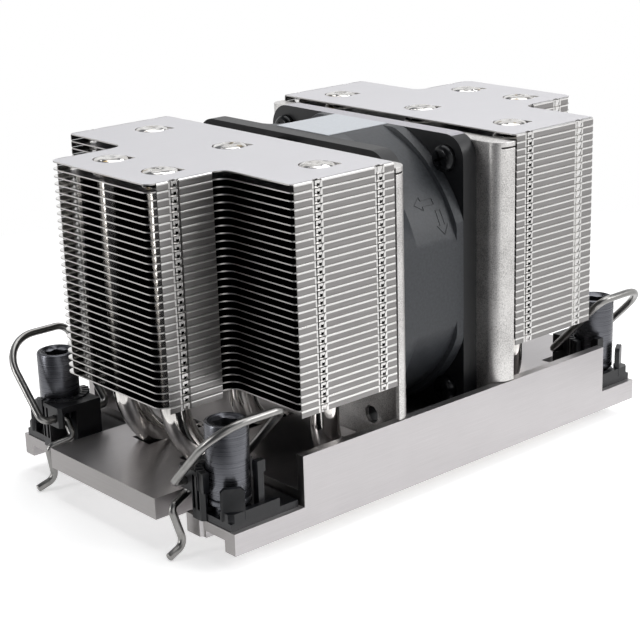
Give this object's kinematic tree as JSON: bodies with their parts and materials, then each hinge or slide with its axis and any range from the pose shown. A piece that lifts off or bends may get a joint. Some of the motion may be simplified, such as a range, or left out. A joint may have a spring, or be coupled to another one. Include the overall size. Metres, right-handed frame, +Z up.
{
  "type": "server cpu heatsink with fan",
  "caption": "Two-tower heat pipe cooler for a server processor, with a fan between the fin stacks, captive load nuts and anti-tilt wires on a walled base.",
  "frame": {"origin": "middle of the contact face under the base", "axes": "+X along the fan's air flow, from the left tower to the right one; +Z up, away from the processor; +Y to the far side wall"},
  "size_m": [0.1278, 0.0752, 0.0715],
  "materials": {
    "milled_aluminium": "machined and finely brushed",
    "nickel_plated_copper": "nickel plated, lapped",
    "fin_aluminium": "rolled sheet, satin",
    "pipe_nickel": "bright nickel plate",
    "plated_sheet_steel": "speckled bright plate",
    "fan_plastic": "moulded glass-filled nylon",
    "rotor_plastic": "moulded satin",
    "sintered_bronze": "sintered",
    "stator_steel": "laminated and wound",
    "board_resin": "coated board",
    "label_paper": "coated paper",
    "black_screw_steel": "black oxide",
    "ground_steel": "ground",
    "magnet_rubber": "bonded ferrite",
    "carrier_plastic": "moulded nylon",
    "nut_black_steel": "turned, black finish",
    "ring_spring_steel": "dark spring steel",
    "wire_spring_steel": "drawn bright wire"
  },
  "bodies": {
    "cooler": {"base_block": "milled_aluminium", "contact_plate": "nickel_plated_copper", "left_fin_stack": "fin_aluminium", "right_fin_stack": "fin_aluminium", "left_top_fin": "fin_aluminium", "right_top_fin": "fin_aluminium", "left_fan_bracket": "plated_sheet_steel", "right_fan_bracket": "plated_sheet_steel", "fan_frame": "fan_plastic", "fan_bearing": "sintered_bronze", "fan_stator": "stator_steel", "fan_circuit_board": "board_resin", "fan_label": "label_paper", "fan_screws": "black_screw_steel", "heat_pipe_1": "pipe_nickel", "heat_pipe_2": "pipe_nickel", "heat_pipe_3": "pipe_nickel", "heat_pipe_4": "pipe_nickel", "heat_pipe_5": "pipe_nickel", "nut_carrier_left_near": "carrier_plastic", "nut_carrier_left_far": "carrier_plastic", "nut_carrier_right_near": "carrier_plastic", "nut_carrier_right_far": "carrier_plastic"},
    "fan_wheel": {"fan_rotor": "rotor_plastic", "fan_shaft": "ground_steel", "fan_magnet": "magnet_rubber"},
    "nut_left_near": {"load_nut_left_near": "nut_black_steel", "retaining_ring_left_near": "ring_spring_steel"},
    "wire_left_near": {"anti_tilt_wire_left_near": "wire_spring_steel"},
    "nut_left_far": {"load_nut_left_far": "nut_black_steel", "retaining_ring_left_far": "ring_spring_steel"},
    "wire_left_far": {"anti_tilt_wire_left_far": "wire_spring_steel"},
    "nut_right_near": {"load_nut_right_near": "nut_black_steel", "retaining_ring_right_near": "ring_spring_steel"},
    "wire_right_near": {"anti_tilt_wire_right_near": "wire_spring_steel"},
    "nut_right_far": {"load_nut_right_far": "nut_black_steel", "retaining_ring_right_far": "ring_spring_steel"},
    "wire_right_far": {"anti_tilt_wire_right_far": "wire_spring_steel"}
  },
  "joints": [
    {"name": "fan_spin", "type": "hinge", "parent": "cooler", "child": "fan_wheel", "pos_m": [0.0006, 0, 0.0377], "axis": [1, 0, 0], "continuous": true},
    {"name": "nut_turn_left_near", "type": "hinge", "parent": "cooler", "child": "nut_left_near", "pos_m": [-0.0534, -0.0288, 0.012], "axis": [0, 0, 1], "continuous": true},
    {"name": "wire_tilt_left_near", "type": "hinge", "parent": "cooler", "child": "wire_left_near", "pos_m": [-0.054, -0.0226, 0.0116], "axis": [-1, 0, 0], "range_deg": [0, 35]},
    {"name": "nut_turn_left_far", "type": "hinge", "parent": "cooler", "child": "nut_left_far", "pos_m": [-0.0534, 0.0288, 0.012], "axis": [0, 0, 1], "continuous": true},
    {"name": "wire_tilt_left_far", "type": "hinge", "parent": "cooler", "child": "wire_left_far", "pos_m": [-0.054, 0.0226, 0.0116], "axis": [1, 0, 0], "range_deg": [0, 35]},
    {"name": "nut_turn_right_near", "type": "hinge", "parent": "cooler", "child": "nut_right_near", "pos_m": [0.0534, -0.0288, 0.012], "axis": [0, 0, 1], "continuous": true},
    {"name": "wire_tilt_right_near", "type": "hinge", "parent": "cooler", "child": "wire_right_near", "pos_m": [0.054, -0.0226, 0.0116], "axis": [-1, 0, 0], "range_deg": [0, 35]},
    {"name": "nut_turn_right_far", "type": "hinge", "parent": "cooler", "child": "nut_right_far", "pos_m": [0.0534, 0.0288, 0.012], "axis": [0, 0, 1], "continuous": true},
    {"name": "wire_tilt_right_far", "type": "hinge", "parent": "cooler", "child": "wire_right_far", "pos_m": [0.054, 0.0226, 0.0116], "axis": [1, 0, 0], "range_deg": [0, 35]}
  ]
}
